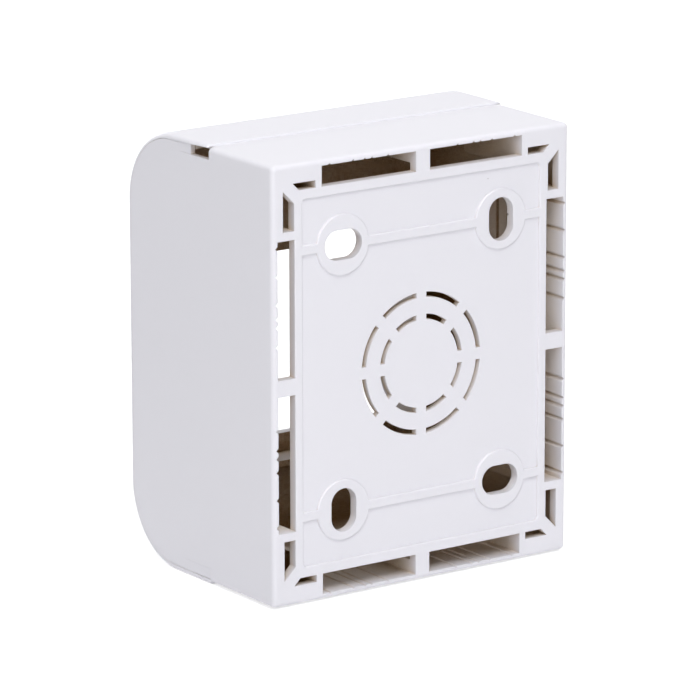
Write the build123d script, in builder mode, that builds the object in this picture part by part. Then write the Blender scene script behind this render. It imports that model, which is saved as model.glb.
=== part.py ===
from build123d import *
import os

# Surface mounting box for data outlets: a base that is screwed to the wall and a U-shaped cover
# that slides on from the front. Millimetres. The origin is the centre of the four wall slots, in
# the plane of the back edge. X is across, +Y points into the wall, +Z is up.

os.makedirs("parts", exist_ok=True)

# Outer sizes
width = 64.25
height = 80.0
depth = 45.6
corner_radius = 14.0          # front top and front bottom, seen from the side
parting_depth = 20.0          # where the cover's top and bottom end, from the back
cover_step = 0.4              # the cover stands this much above the base's top and bottom

# Walls
wall = 1.15                   # sides of the base
end_wall = 1.05               # its top and bottom
plate = 1.8                   # back plate and its bars
cover_skin = 1.0              # cover over the edges of the base's side walls
cover_return = 1.8            # cover's top and bottom between the side walls
cover_front = 2.4             # cover's front panel
edge_round = 0.9              # base's outer edges
skin_round = 0.8              # cover's outer side edges
end_round = 0.35              # edge of the cover's top and bottom at the parting line
edge_gap = 0.03               # between the cover's skin and the side walls' edges
side_gap = 0.2                # between the cover's inner body and the base
edge_rise = 0.5               # the side walls' top edges rise this much towards the parting line

# Back plate
window_side = 3.65            # width of the side windows
window_end = 3.7              # height of the top and bottom windows
rim_side = 1.6                # rim between the windows and the sunk panel
rim_end = 1.8
rim_round = 0.25              # the plate's back edges along the side windows
panel_round = 0.8
panel_sink = 0.45
panel_chamfer = 0.15          # edges of the rim, the ribs and the bosses round the sunk panel
bar = 3.0                     # bar at the middle of each side
side_corner = 8.65            # from the far end of a side window to the plate's corner
end_corner = 5.675            # the same for the top and bottom windows
end_bar_z = 1.55              # bar between a side window and its corner slot
end_bar_x = 1.3
corner_slot_x = 2.35          # width of the upright corner slots
corner_slot_z = 1.3           # height of the level corner slots
corner_slot_inset = 0.15      # the upright corner slots start this far outside the plate
web_under = 2.375             # edges of the 45 degree webs, below and above the plate's corner
web_over = 0.875

# Wall slots on raised bosses, tied by ribs
slot_margin_x = 10.225        # from the edge of the plate to the middle of a slot
slot_margin_z = 10.9
slot_width = 5.35
slot_length = 7.9
boss_d = 11.05
rib_width = 1.75

# Conduit knock-outs: two broken rings
ring_inner = 8.0              # inner radius of the small ring, for 16 mm conduit
ring_outer = 12.0             # inner radius of the large ring, for 25 mm conduit
ring_cut = 0.95
ring_webs = 8
web_width = 2.15

# Trunking knock-outs: V grooves in the inner faces, as (half width, height) of each trunking.
# The widest of each height also has a groove across, at its height.
trunkings = [(7.5, 10.0), (11.0, 10.0), (15.0, 10.0), (12.5, 16.5), (20.0, 16.5), (25.0, 19.6)]
groove_depth = 0.45           # in the side walls
end_groove_depth = 0.3        # in the top and bottom

# Inside of the base
spine_z = 2.35                # height of the rib under the top wall and over the bottom wall
rib_front = 17.3              # ribs go forward this far from the bars beside the corner slots
rib_round = 0.9
end_rib_tall = 5.95           # how far they stand in from the top and bottom walls

# Release slot in the top edge of each side wall, with a ramp that leads a blade into it
release_drop = 1.55           # how far down it goes from the side wall's edge
release_lead = 0.6            # it starts this far behind the parting line
release_end = 25.4
ramp_end = 29.25
ramp_depth = 0.25
low_ramp_drop = 2.0           # the same place on the bottom edge has a shallow ramp only
low_ramp_depth = 0.2

# Cover
opening_x = 22.5              # half width of the outlet opening
opening_land = 3.9            # flat front below the opening
opening_height = 37.0
opening_chamfer = 0.5
collar = 1.2                  # guide wall on each side of the opening
collar_deep = 9.4             # how far the guide walls stand behind the front panel
shelf_drop = 3.4              # from the opening down to the rib below it
shelf_thick = 1.1
shelf_deep = 5.7
lug_width = 8.0               # catch in the middle of the opening's top edge
lug_drop = 2.5
lug_thick = 1.4
tongue_length = 4.0           # tongues that slide inside the base's top and bottom
tongue_inner = 4.0
tongue_outer = 20.0
tongue_thick = 1.1
tongue_root = 4.0
tongue_gap = 0.25
pocket_wide = 4.8             # release pockets in the cover's returns

# Worked out from the sizes above
half_x = width / 2
cover_z = height / 2
base_z = cover_z - cover_step
inner_x = half_x - wall
inner_z = base_z - end_wall
side_edge_z = cover_z - cover_skin
side_front = depth - cover_skin
body_x = inner_x - side_gap
return_z = cover_z - cover_return
front_back = depth - cover_front
rim_x = inner_x - window_side
rim_z = inner_z - window_end
side_window_z = rim_z - side_corner
top_window_x = rim_x - end_corner
slot_x = rim_x - slot_margin_x
slot_z = rim_z - slot_margin_z
web_low = rim_z - rim_x - web_under
web_high = rim_z - rim_x + web_over
slot_in = rim_x + corner_slot_inset
slot_out = slot_in + corner_slot_x
level_high = rim_z + corner_slot_z
upright_start = side_window_z + end_bar_z
level_start = top_window_x + end_bar_x
upright_slot = [(slot_in, upright_start), (slot_out, upright_start),
                (slot_out, slot_out + web_low), (slot_in, slot_in + web_low)]
level_slot = [(level_start, rim_z), (level_start, level_high),
              (level_high - web_high, level_high), (rim_z - web_high, rim_z)]
groove_side = groove_depth * 2 ** 0.5
end_groove_side = end_groove_depth * 2 ** 0.5
release_z = side_edge_z - release_drop
release_start = parting_depth - release_lead
opening_low = corner_radius - cover_z + opening_land
opening_high = opening_low + opening_height
collar_back = front_back - collar_deep
touch = 0.01                  # edges this near to a place count as being there
SIDES = (1, -1)
QUARTERS = [(sx, sz) for sx in SIDES for sz in SIDES]


def side_outline(plane, half_height, back, front, radius):
    """Side view of the box from one depth to another, with two round front corners."""
    with BuildSketch(plane) as outline:
        with Locations((-(back + front) / 2, 0)):
            Rectangle(front - back, 2 * half_height)
        fillet(outline.vertices().group_by(Axis.X)[0], radius)
    return outline.sketch


def edge_wedge(plane, lift):
    """Side view of the slow rise of a side wall's top edge from the ramp's end to the parting line."""
    with BuildSketch(plane) as wedge:
        with BuildLine():
            Polyline((-ramp_end, side_edge_z - edge_rise), (-parting_depth, side_edge_z - edge_rise),
                     (-parting_depth, side_edge_z + edge_rise + lift), (-ramp_end, side_edge_z + lift),
                     close=True)
        make_face()
    return wedge.sketch


side_walls = side_outline(Plane.YZ, side_edge_z, 0, side_front, corner_radius - cover_skin)
cover_shape = side_outline(Plane.YZ, cover_z, parting_depth, depth, corner_radius)
cover_hollow = side_outline(Plane.YZ, return_z, parting_depth, front_back, corner_radius - cover_front)
skin_hollows = [
    side_outline(Plane.YZ.offset(start), side_edge_z + edge_gap, parting_depth,
                 side_front + edge_gap, corner_radius - cover_skin + edge_gap)
    for start in (body_x, -half_x)
]

# Base: one moulding of the side walls, the back half of the top and bottom, and the back plate
with BuildPart() as base:
    extrude(side_walls, amount=half_x, both=True)
    with BuildSketch(Plane.XZ):
        Rectangle(width, 2 * base_z)
    extrude(amount=parting_depth)
    back_edges = base.faces().sort_by(Axis.Y)[-1].edges()
    corner_edges = base.edges().filter_by(Axis.Y).filter_by(lambda e: abs(e.center().Z) > side_edge_z)
    fillet(back_edges + corner_edges, edge_round)

    # Hollow, open to the front, and open above and below in front of the parting line
    with BuildSketch(Plane.XZ.offset(plate)):
        Rectangle(2 * inner_x, 2 * inner_z)
    extrude(amount=depth, mode=Mode.SUBTRACT)
    with BuildSketch(Plane.XZ.offset(parting_depth)):
        Rectangle(2 * inner_x, height)
    extrude(amount=depth, mode=Mode.SUBTRACT)
    for start in (inner_x, -half_x):
        extrude(edge_wedge(Plane.YZ.offset(start), 0), amount=wall)

    # Sunk panel, round the bosses and the ribs that tie them to the rim
    with BuildSketch(Plane.XZ):
        RectangleRounded(2 * (rim_x - rim_side), 2 * (rim_z - rim_end), panel_round)
        with Locations((0, slot_z), (0, -slot_z)):
            Rectangle(2 * rim_x, rib_width, mode=Mode.SUBTRACT)
        with GridLocations(2 * slot_x, 2 * slot_z, 2, 2):
            Circle(boss_d / 2, mode=Mode.SUBTRACT)
    extrude(amount=panel_sink, mode=Mode.SUBTRACT)
    back_face = base.faces().sort_by(Axis.Y)[-1]
    chamfer(back_face.inner_wires().edges(), panel_chamfer)

    # V grooves that run forward from the back edges, as far as each trunking is high
    for reach in sorted({high for half_wide, high in trunkings}):
        half_widths = [half_wide for half_wide, high in trunkings if high == reach]
        with BuildSketch(Plane.XZ):
            for half_wide in half_widths:
                for sx, sz in QUARTERS:
                    with Locations((sx * inner_x, sz * half_wide)):
                        Rectangle(groove_side, groove_side, rotation=45)
                    if half_wide < top_window_x:
                        with Locations((sx * half_wide, sz * inner_z)):
                            Rectangle(end_groove_side, end_groove_side, rotation=45)
        extrude(amount=reach, mode=Mode.SUBTRACT)

        # Groove across, between the ends of the widest pair
        widest = max(half_widths)
        with BuildSketch(Plane.XY):
            with Locations((inner_x, -reach), (-inner_x, -reach)):
                Rectangle(groove_side, groove_side, rotation=45)
        extrude(amount=widest, both=True, mode=Mode.SUBTRACT)
        if widest < top_window_x:
            with BuildSketch(Plane.YZ):
                with Locations((-reach, inner_z), (-reach, -inner_z)):
                    Rectangle(end_groove_side, end_groove_side, rotation=45)
            extrude(amount=widest, both=True, mode=Mode.SUBTRACT)

    # Spine ribs along the middle of the top and bottom walls
    with BuildSketch(Plane.XZ.offset(plate)):
        for sz in SIDES:
            with Locations((0, sz * (inner_z - spine_z / 2))):
                Rectangle(bar, spine_z)
    extrude(amount=parting_depth - plate)

    # Windows round the four sides of the back plate, and the slots beside the 45 degree webs
    with BuildSketch(Plane.XZ):
        for sx, sz in QUARTERS:
            with Locations((sx * (rim_x + inner_x) / 2, sz * (bar / 2 + side_window_z) / 2)):
                Rectangle(inner_x - rim_x, side_window_z - bar / 2)
            with Locations((sx * (bar / 2 + top_window_x) / 2, sz * (rim_z + inner_z) / 2)):
                Rectangle(top_window_x - bar / 2, inner_z - rim_z)
            for points in (upright_slot, level_slot):
                with BuildLine():
                    Polyline(*[(sx * x, sz * z) for x, z in points], close=True)
                make_face()
    extrude(amount=plate, mode=Mode.SUBTRACT)
    plate_edges = base.edges().filter_by(Axis.Z).filter_by(
        lambda e: abs(e.center().Y) < touch and abs(abs(e.center().X) - rim_x) < touch)
    fillet(plate_edges, rim_round)

    # Ribs that go forward from the bars beside the corner slots
    for sx, sz in QUARTERS:
        with BuildSketch(Plane.XZ.offset(plate)):
            with Locations((sx * (top_window_x + end_bar_x / 2), sz * (inner_z - end_rib_tall / 2))):
                Rectangle(end_bar_x, end_rib_tall)
            with Locations((sx * (rim_x + inner_x) / 2, sz * (side_window_z + end_bar_z / 2))):
                Rectangle(inner_x - rim_x, end_bar_z)
        extrude(amount=rib_front - plate)
    rib_ends = base.faces().filter_by(Axis.Y).filter_by(lambda f: abs(f.center().Y + rib_front) < touch)
    rib_corners = [min(face.edges(), key=lambda e: e.center().X ** 2 + e.center().Z ** 2)
                   for face in rib_ends]
    fillet(rib_corners, rib_round)

    # Wall slots: level in one pair of opposite corners, upright in the other
    with BuildSketch(Plane.XZ):
        with Locations((slot_x, slot_z), (-slot_x, -slot_z)):
            SlotOverall(slot_length, slot_width)
        with Locations((-slot_x, slot_z), (slot_x, -slot_z)):
            SlotOverall(slot_length, slot_width, rotation=90)
    extrude(amount=plate, mode=Mode.SUBTRACT)

    # Conduit knock-outs, held by webs at equal steps
    for radius in (ring_inner, ring_outer):
        with BuildSketch(Plane.XZ):
            Circle(radius + ring_cut)
            Circle(radius, mode=Mode.SUBTRACT)
            with PolarLocations(radius + ring_cut / 2, ring_webs):
                Rectangle(2 * ring_cut, web_width, mode=Mode.SUBTRACT)
        extrude(amount=plate, mode=Mode.SUBTRACT)

    # Release slots in the top edges, the ramps that lead into them, and the shallow low ramps
    for sx in SIDES:
        with BuildSketch(Plane.XY.offset(release_z)):
            with Locations((sx * (body_x + half_x) / 2, -(release_start + release_end) / 2)):
                Rectangle(half_x - body_x, release_end - release_start)
            with BuildLine():
                Polyline((sx * half_x, -release_end), (sx * (half_x - ramp_depth), -release_end),
                         (sx * half_x, -ramp_end), close=True)
            make_face()
        extrude(amount=base_z - release_z, mode=Mode.SUBTRACT)
        with BuildSketch(Plane.XY.offset(-side_edge_z)):
            with BuildLine():
                Polyline((sx * half_x, -parting_depth), (sx * (half_x - low_ramp_depth), -parting_depth),
                         (sx * half_x, -ramp_end), close=True)
            make_face()
        extrude(amount=low_ramp_drop, mode=Mode.SUBTRACT)

# Cover: one U-shaped moulding of the front and the front half of the top and bottom
with BuildPart() as cover:
    extrude(cover_shape, amount=half_x, both=True)
    outer_sides = cover.faces().filter_by(Axis.X)
    side_edges = outer_sides.edges().filter_by(lambda e: e.center().Y < -parting_depth)
    fillet(side_edges, skin_round)
    end_edges = cover.faces().sort_by(Axis.Y)[-1].edges().filter_by(Axis.X)
    fillet(end_edges, end_round)
    extrude(cover_hollow, amount=half_x, both=True, mode=Mode.SUBTRACT)
    for hollow in skin_hollows:
        extrude(hollow, amount=half_x - body_x, mode=Mode.SUBTRACT)
    for start in (body_x, -half_x):
        extrude(edge_wedge(Plane.YZ.offset(start), edge_gap), amount=half_x - body_x, mode=Mode.SUBTRACT)

    # Opening for the outlets, with a guide wall on each side
    opening_middle = (opening_low + opening_high) / 2
    with BuildSketch(Plane.XZ.offset(collar_back)):
        with Locations((0, opening_middle)):
            Rectangle(2 * (opening_x + collar), opening_height)
    extrude(amount=front_back - collar_back)
    with BuildSketch(Plane.XZ.offset(collar_back)):
        with Locations((0, opening_middle)):
            Rectangle(2 * opening_x, opening_height)
    extrude(amount=depth - collar_back, mode=Mode.SUBTRACT)
    front_face = cover.faces().sort_by(Axis.Y)[0]
    chamfer(front_face.inner_wires().edges(), opening_chamfer)

    # Rib below the opening
    with BuildSketch(Plane.XZ.offset(front_back - shelf_deep)):
        with Locations((0, opening_low - shelf_drop - shelf_thick / 2)):
            Rectangle(2 * (opening_x + collar), shelf_thick)
    extrude(amount=shelf_deep)

    # Catch in the middle of the opening's top edge
    with BuildSketch(Plane.XZ.offset(front_back)):
        with Locations((0, opening_high - lug_drop / 2)):
            Rectangle(lug_width, lug_drop)
    extrude(amount=lug_thick)

    # Tongues that slide inside the base's top and bottom walls, and their roots on the cover
    tongue_z = inner_z - tongue_gap - tongue_thick
    tongue_wide = tongue_outer - tongue_inner
    with BuildSketch(Plane.XZ.offset(parting_depth - tongue_length)):
        for sx, sz in QUARTERS:
            with Locations((sx * (tongue_inner + tongue_outer) / 2, sz * (tongue_z + tongue_thick / 2))):
                Rectangle(tongue_wide, tongue_thick)
    extrude(amount=tongue_length + tongue_root)
    with BuildSketch(Plane.XZ.offset(parting_depth)):
        for sx, sz in QUARTERS:
            with Locations((sx * (tongue_inner + tongue_outer) / 2, sz * (tongue_z + return_z) / 2)):
                Rectangle(tongue_wide, return_z - tongue_z)
    extrude(amount=tongue_root)

    # Pockets behind the release slots, so that a blade reaches the cover's edge
    with BuildSketch(Plane.XZ.offset(parting_depth)):
        for sx in SIDES:
            with Locations((sx * (body_x - pocket_wide / 2), (return_z + side_edge_z + edge_gap) / 2)):
                Rectangle(pocket_wide, side_edge_z + edge_gap - return_z)
    extrude(amount=release_end - parting_depth, mode=Mode.SUBTRACT)

base.part.label = "base"
export_step(base.part, "parts/base.step")
cover.part.label = "front_cover"
export_step(cover.part, "parts/front_cover.step")
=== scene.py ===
import math
import bpy
from mathutils import Matrix, Vector


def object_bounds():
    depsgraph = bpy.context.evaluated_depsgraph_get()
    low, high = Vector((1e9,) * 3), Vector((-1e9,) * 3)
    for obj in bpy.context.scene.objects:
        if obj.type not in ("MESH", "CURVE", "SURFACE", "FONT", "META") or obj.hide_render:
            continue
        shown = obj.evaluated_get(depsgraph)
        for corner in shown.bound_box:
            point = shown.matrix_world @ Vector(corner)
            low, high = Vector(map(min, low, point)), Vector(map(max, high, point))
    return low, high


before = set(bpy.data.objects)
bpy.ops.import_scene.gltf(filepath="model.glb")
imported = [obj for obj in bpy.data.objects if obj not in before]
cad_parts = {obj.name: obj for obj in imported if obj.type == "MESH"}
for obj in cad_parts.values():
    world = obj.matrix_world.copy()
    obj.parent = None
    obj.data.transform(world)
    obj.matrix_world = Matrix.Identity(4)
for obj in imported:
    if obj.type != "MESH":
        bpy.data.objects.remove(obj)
cad_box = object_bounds()

# A surface mounting box for data outlets, moulded in white ABS, seen from behind and from its +X side.
MM = 0.001

# Camera: a long lens, level but for a hair of roll, that looks down at the back of the box
CAMERA_AZIMUTH = 144.75
CAMERA_ELEVATION = 14.34
CAMERA_ROLL = -0.10
CAMERA_DISTANCE = 945.1 * MM
CAMERA_RIGHT = -12.86 * MM     # where the lens points, from the box's origin
CAMERA_DOWN = -2.44 * MM
LENS = 275.3
SENSOR = 36.0

# Soft boxes: where each one stands and how wide it is, in metres, and its power in watts
SOFT_BOXES = {
    "top_soft_box": ((-0.2, -0.1, 1.2), 0.9, 6.3),
    "back_soft_box": ((0.28, 0.65, 0.9), 0.55, 7.0),
    "side_soft_box": ((0.8, 0.75, 0.2), 0.6, 2.6),
    "front_soft_box": ((-0.05, -1.2, 0.12), 0.6, 6.2),
}

# Surround: its tint, and its strength from behind the camera, from beyond the box and from below.
# A direction has all of a strength when it leans that way by this much, where 1 is straight that way.
FILL_TINT = "#F6F6FF"
FILL_NEAR = 0.14
FILL_BEYOND = 0.08
FILL_BELOW = 0.2
LEAN_LEVEL = 0.5
LEAN_DOWN = 0.3

# Floor, in metres: its width, and how far out the lamps light it in full and from where not at all.
# Where it is seen it also glows, by this much where they light it and up to pure white where they don't.
FLOOR_WIDTH = 40
LAMPLIT_OUT_TO = 0.4
UNLIT_FROM = 2.0
FLOOR_GLOW = 0.6
FLOOR_TONE = "#F0F0F0"

# White ABS. Its eroded grain is finer than the render can show, so it is drawn this coarse.
# The flow of the melt leaves the sheen a little uneven, and no moulded edge is quite sharp.
ABS_IOR = 1.53
GRAIN_WIDTH = 0.35 * MM
GRAIN_DEPTH = 0.02 * MM
FLOW_WIDTH = 18 * MM
SMOOTHEST = 0.36
ROUGHEST = 0.46
EDGE_RADIUS = 0.2 * MM
SHUT_IN_REACH = 150 * MM     # a wall counts as shut in by what stands nearer than this

# Painted shade: the plastic's tones by the share of its surroundings that is open, from deep inside to
# outside, darker and warmer where walls are shut in: the tone that is seen, and the tone that a wall gives
# to the light it sends on to other walls
SEEN_PAINTED_SHADE_TONES = ((0.03, "#7A5410"), (0.08, "#E0CEB4"), (0.15, "#E4DAD0"), (0.32, "#E4DEDE"), (0.55, "#EFEEF4"))
BOUNCE_PAINTED_SHADE_TONES = ((0.03, "#8A6A34"), (0.2, "#CDB698"), (0.4, "#EFEEF4"))

# Small dark specks of grime: where each one lies and its radius, in millimetres
SPECKS = (((-19.78, -1.6, 24.15), 0.3), ((-14.5, -0.45, 31.54), 0.11), ((27.5, -0.2, 4.0), 0.18))
GRIME = "#5A4A40"
GRIME_COVER = 0.8
SPECK_CORE = 0.4     # the share of its radius over which a speck is evenly dark

# A Mix node of colours has sockets that share their names, so they are taken by number
MIX_SHARE = 0
MIX_FIRST = 6
MIX_SECOND = 7
MIX_RESULT = 2


def hex_rgba(code):
    """A colour given as sRGB hex, turned to the linear values that shaders use, and opaque."""
    parts = [int(code[i:i + 2], 16) / 255 for i in (1, 3, 5)]
    linear = [p / 12.92 if p <= 0.04045 else ((p + 0.055) / 1.055) ** 2.4 for p in parts]
    return (*linear, 1)


def add_node(tree, kind, settings=(), inputs=(), links=()):
    """A shader node with its properties, its socket values and the links into it."""
    node = tree.nodes.new(kind)
    for name, value in dict(settings).items():
        setattr(node, name, value)
    for name, value in dict(inputs).items():
        node.inputs[name].default_value = value
    for name, socket in dict(links).items():
        tree.links.new(socket, node.inputs[name])
    return node


def empty_material(name):
    """A material with nothing in its tree but the output."""
    material = bpy.data.materials.new(name)
    material.use_nodes = True
    tree = material.node_tree
    tree.nodes.clear()
    return material, tree, tree.nodes.new("ShaderNodeOutputMaterial")


def ray_that_looks(tree):
    """One for rays that show what lies there, to the camera or in a reflection, and nothing for others."""
    path = add_node(tree, "ShaderNodeLightPath")
    mirrored = add_node(tree, "ShaderNodeMath", {"operation": "MAXIMUM"},
                        links={0: path.outputs["Is Glossy Ray"], 1: path.outputs["Is Transmission Ray"]})
    either = add_node(tree, "ShaderNodeMath", {"operation": "MAXIMUM"},
                      links={0: path.outputs["Is Camera Ray"], 1: mirrored.outputs["Value"]})
    return either.outputs["Value"]


def tone_ramp(tree, share, tones):
    """A ramp from one tone to the next by a share, each tone with its place."""
    node = add_node(tree, "ShaderNodeValToRGB", links={"Fac": share})
    ramp = node.color_ramp
    while len(ramp.elements) < len(tones):
        ramp.elements.new(1.0)
    for element, (place, code) in zip(ramp.elements, tones):
        element.position = place
        element.color = hex_rgba(code)
    return node.outputs["Color"]


def with_specks(tree, coords, tone):
    """A tone with the specks of grime laid on it."""
    for place, radius in SPECKS:
        away = add_node(tree, "ShaderNodeVectorMath", {"operation": "DISTANCE"},
                        inputs={1: [v * MM for v in place]}, links={0: coords})
        cover = add_node(tree, "ShaderNodeMapRange",
                         inputs={"From Min": SPECK_CORE * radius * MM, "From Max": radius * MM,
                                 "To Min": GRIME_COVER, "To Max": 0.0},
                         links={"Value": away.outputs["Value"]})
        laid = add_node(tree, "ShaderNodeMix", {"data_type": "RGBA"}, inputs={MIX_SECOND: hex_rgba(GRIME)},
                        links={MIX_SHARE: cover.outputs["Result"], MIX_FIRST: tone})
        tone = laid.outputs[MIX_RESULT]
    return tone


def white_abs():
    """White ABS, injection moulded in a finely eroded tool: satin, with soft broad highlights.

    Pigmented ABS sends light on warmer and weaker from wall to wall, more often than the render follows it.
    So walls that are shut in are painted a warmer and deeper tone, by how little of their surroundings is
    open: this is painted shade, both in the tone that is seen and in the tone of the light they send on to
    other walls."""
    material, tree, output = empty_material("white_abs_satin_moulded")
    coords = add_node(tree, "ShaderNodeTexCoord")
    grain = add_node(tree, "ShaderNodeTexNoise",
                     inputs={"Scale": 1 / GRAIN_WIDTH, "Detail": 3.0, "Roughness": 0.6},
                     links={"Vector": coords.outputs["Object"]})
    flow = add_node(tree, "ShaderNodeTexNoise", inputs={"Scale": 1 / FLOW_WIDTH, "Detail": 2.0},
                    links={"Vector": coords.outputs["Object"]})
    sheen = add_node(tree, "ShaderNodeMapRange", inputs={"To Min": SMOOTHEST, "To Max": ROUGHEST},
                     links={"Value": flow.outputs["Fac"]})
    rounded = add_node(tree, "ShaderNodeBevel", {"samples": 4}, inputs={"Radius": EDGE_RADIUS})
    bump = add_node(tree, "ShaderNodeBump", inputs={"Strength": 0.12, "Distance": GRAIN_DEPTH},
                    links={"Height": grain.outputs["Fac"], "Normal": rounded.outputs["Normal"]})
    # Painted shade: ambient occlusion drives tone ramps that darken and warm the walls that are shut in
    openness = add_node(tree, "ShaderNodeAmbientOcclusion", {"samples": 16},
                        inputs={"Distance": SHUT_IN_REACH})
    seen_painted_shade = tone_ramp(tree, openness.outputs["AO"], SEEN_PAINTED_SHADE_TONES)
    bounce_painted_shade = tone_ramp(tree, openness.outputs["AO"], BOUNCE_PAINTED_SHADE_TONES)
    # Painted shade in bounced light: diffuse rays take the warmer, weaker tone of a wall that is shut in
    path = add_node(tree, "ShaderNodeLightPath")
    tone = add_node(tree, "ShaderNodeMix", {"data_type": "RGBA"},
                    links={MIX_SHARE: path.outputs["Is Diffuse Ray"], MIX_FIRST: seen_painted_shade, MIX_SECOND: bounce_painted_shade})
    speckled = with_specks(tree, coords.outputs["Object"], tone.outputs[MIX_RESULT])
    shader = add_node(tree, "ShaderNodeBsdfPrincipled", inputs={"IOR": ABS_IOR},
                      links={"Base Color": speckled, "Roughness": sheen.outputs["Result"],
                             "Normal": bump.outputs["Normal"]})
    tree.links.new(shader.outputs["BSDF"], output.inputs["Surface"])
    return material


def pale_floor():
    """The studio floor: it shows white to the camera and still takes the box's soft shadow."""
    material, tree, output = empty_material("studio_floor_white")
    matt = add_node(tree, "ShaderNodeBsdfDiffuse", inputs={"Color": hex_rgba(FLOOR_TONE)})
    # The lamps reach only the middle of the floor, so its glow grows to pure white further out
    coords = add_node(tree, "ShaderNodeTexCoord")
    out = add_node(tree, "ShaderNodeVectorMath", {"operation": "LENGTH"},
                   links={0: coords.outputs["Object"]})
    glow = add_node(tree, "ShaderNodeMapRange",
                    inputs={"From Min": LAMPLIT_OUT_TO, "From Max": UNLIT_FROM,
                            "To Min": FLOOR_GLOW, "To Max": 1.0},
                    links={"Value": out.outputs["Value"]})
    light = add_node(tree, "ShaderNodeEmission", links={"Strength": glow.outputs["Result"]})
    glowing = add_node(tree, "ShaderNodeAddShader",
                       links={0: matt.outputs["BSDF"], 1: light.outputs["Emission"]})
    mix = add_node(tree, "ShaderNodeMixShader",
                   links={0: ray_that_looks(tree), 1: matt.outputs["BSDF"], 2: glowing.outputs["Shader"]})
    # Seen from below, the floor lets the underside of the box show
    side = add_node(tree, "ShaderNodeNewGeometry")
    clear = add_node(tree, "ShaderNodeBsdfTransparent")
    one_way = add_node(tree, "ShaderNodeMixShader",
                       links={0: side.outputs["Backfacing"],
                              1: mix.outputs["Shader"], 2: clear.outputs["BSDF"]})
    tree.links.new(one_way.outputs["Shader"], output.inputs["Surface"])
    return material


def dress(node, material):
    """Gives a moulding its material."""
    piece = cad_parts[node]
    piece.data.materials.clear()
    piece.data.materials.append(material)


def add_floor(material):
    """A wide floor at the lowest point of the box."""
    low = cad_box[0][2]
    bpy.ops.object.select_all(action="DESELECT")
    bpy.ops.mesh.primitive_plane_add(size=FLOOR_WIDTH, location=(0, 0, low))
    floor = bpy.context.object
    floor.name = "studio_floor"
    floor.data.materials.append(material)
    floor.visible_shadow = False    # the floor takes shadows and hides nothing from the light


def camera_axes():
    """The camera's right, down and backward directions."""
    azimuth, elevation, roll = (math.radians(v) for v in (CAMERA_AZIMUTH, CAMERA_ELEVATION, CAMERA_ROLL))
    backward = Vector((math.sin(azimuth) * math.cos(elevation), -math.cos(azimuth) * math.cos(elevation),
                       math.sin(elevation)))
    right = (-backward).cross(Vector((0, 0, 1))).normalized()
    down = (-backward).cross(right)
    turned_right = right * math.cos(roll) - down * math.sin(roll)
    turned_down = right * math.sin(roll) + down * math.cos(roll)
    return turned_right, turned_down, backward


def add_camera():
    """The camera, as fitted to the edges in the photograph."""
    right, down, backward = camera_axes()
    aim = right * CAMERA_RIGHT + down * CAMERA_DOWN
    data = bpy.data.cameras.new("camera")
    data.lens = LENS
    data.sensor_width = SENSOR
    data.clip_start = 0.01
    data.clip_end = 50
    camera = bpy.data.objects.new("camera", data)
    turn = Matrix((right, -down, backward)).transposed().to_4x4()
    camera.matrix_world = Matrix.Translation(aim + backward * CAMERA_DISTANCE) @ turn
    bpy.context.scene.collection.objects.link(camera)
    bpy.context.scene.camera = camera


def add_soft_box(name, place, side, power):
    """A square lamp of white light at a place, turned towards the mounting box's origin."""
    data = bpy.data.lights.new(name, "AREA")
    data.size = side
    data.energy = power
    lamp = bpy.data.objects.new(name, data)
    turn = (-Vector(place)).to_track_quat("-Z", "Y").to_matrix().to_4x4()
    lamp.matrix_world = Matrix.Translation(place) @ turn
    bpy.context.scene.collection.objects.link(lamp)


def add_world():
    """A surround of white light, stronger behind the camera and below than beyond the box.

    Where it is seen, it is pure white."""
    world = bpy.data.worlds.new("studio")
    bpy.context.scene.world = world
    world.use_nodes = True
    tree = world.node_tree
    tree.nodes.clear()
    coords = add_node(tree, "ShaderNodeTexCoord")
    direction = add_node(tree, "ShaderNodeSeparateXYZ", links={0: coords.outputs["Generated"]})
    level = add_node(tree, "ShaderNodeMapRange",
                     inputs={"From Min": -LEAN_LEVEL, "From Max": LEAN_LEVEL,
                             "To Min": FILL_BEYOND, "To Max": FILL_NEAR},
                     links={"Value": direction.outputs["Y"]})
    lower = add_node(tree, "ShaderNodeMapRange",
                     inputs={"From Min": 0.0, "From Max": -LEAN_DOWN,
                             "To Min": 0.0, "To Max": FILL_BELOW},
                     links={"Value": direction.outputs["Z"]})
    total = add_node(tree, "ShaderNodeMath", {"operation": "ADD"},
                     links={0: level.outputs["Result"], 1: lower.outputs["Result"]})
    seen = add_node(tree, "ShaderNodeBackground", inputs={"Color": hex_rgba("#FFFFFF"), "Strength": 1.0})
    fill = add_node(tree, "ShaderNodeBackground", inputs={"Color": hex_rgba(FILL_TINT)},
                    links={"Strength": total.outputs["Value"]})
    mix = add_node(tree, "ShaderNodeMixShader",
                   links={0: ray_that_looks(tree),
                          1: fill.outputs["Background"], 2: seen.outputs["Background"]})
    output = add_node(tree, "ShaderNodeOutputWorld")
    tree.links.new(mix.outputs["Shader"], output.inputs["Surface"])


abs_material = white_abs()
for moulding in ("base", "front_cover"):
    dress(moulding, abs_material)
add_floor(pale_floor())
add_camera()
add_world()
for name, (place, side, power) in SOFT_BOXES.items():
    add_soft_box(name, place, side, power)
bpy.context.scene.view_settings.view_transform = "Standard"
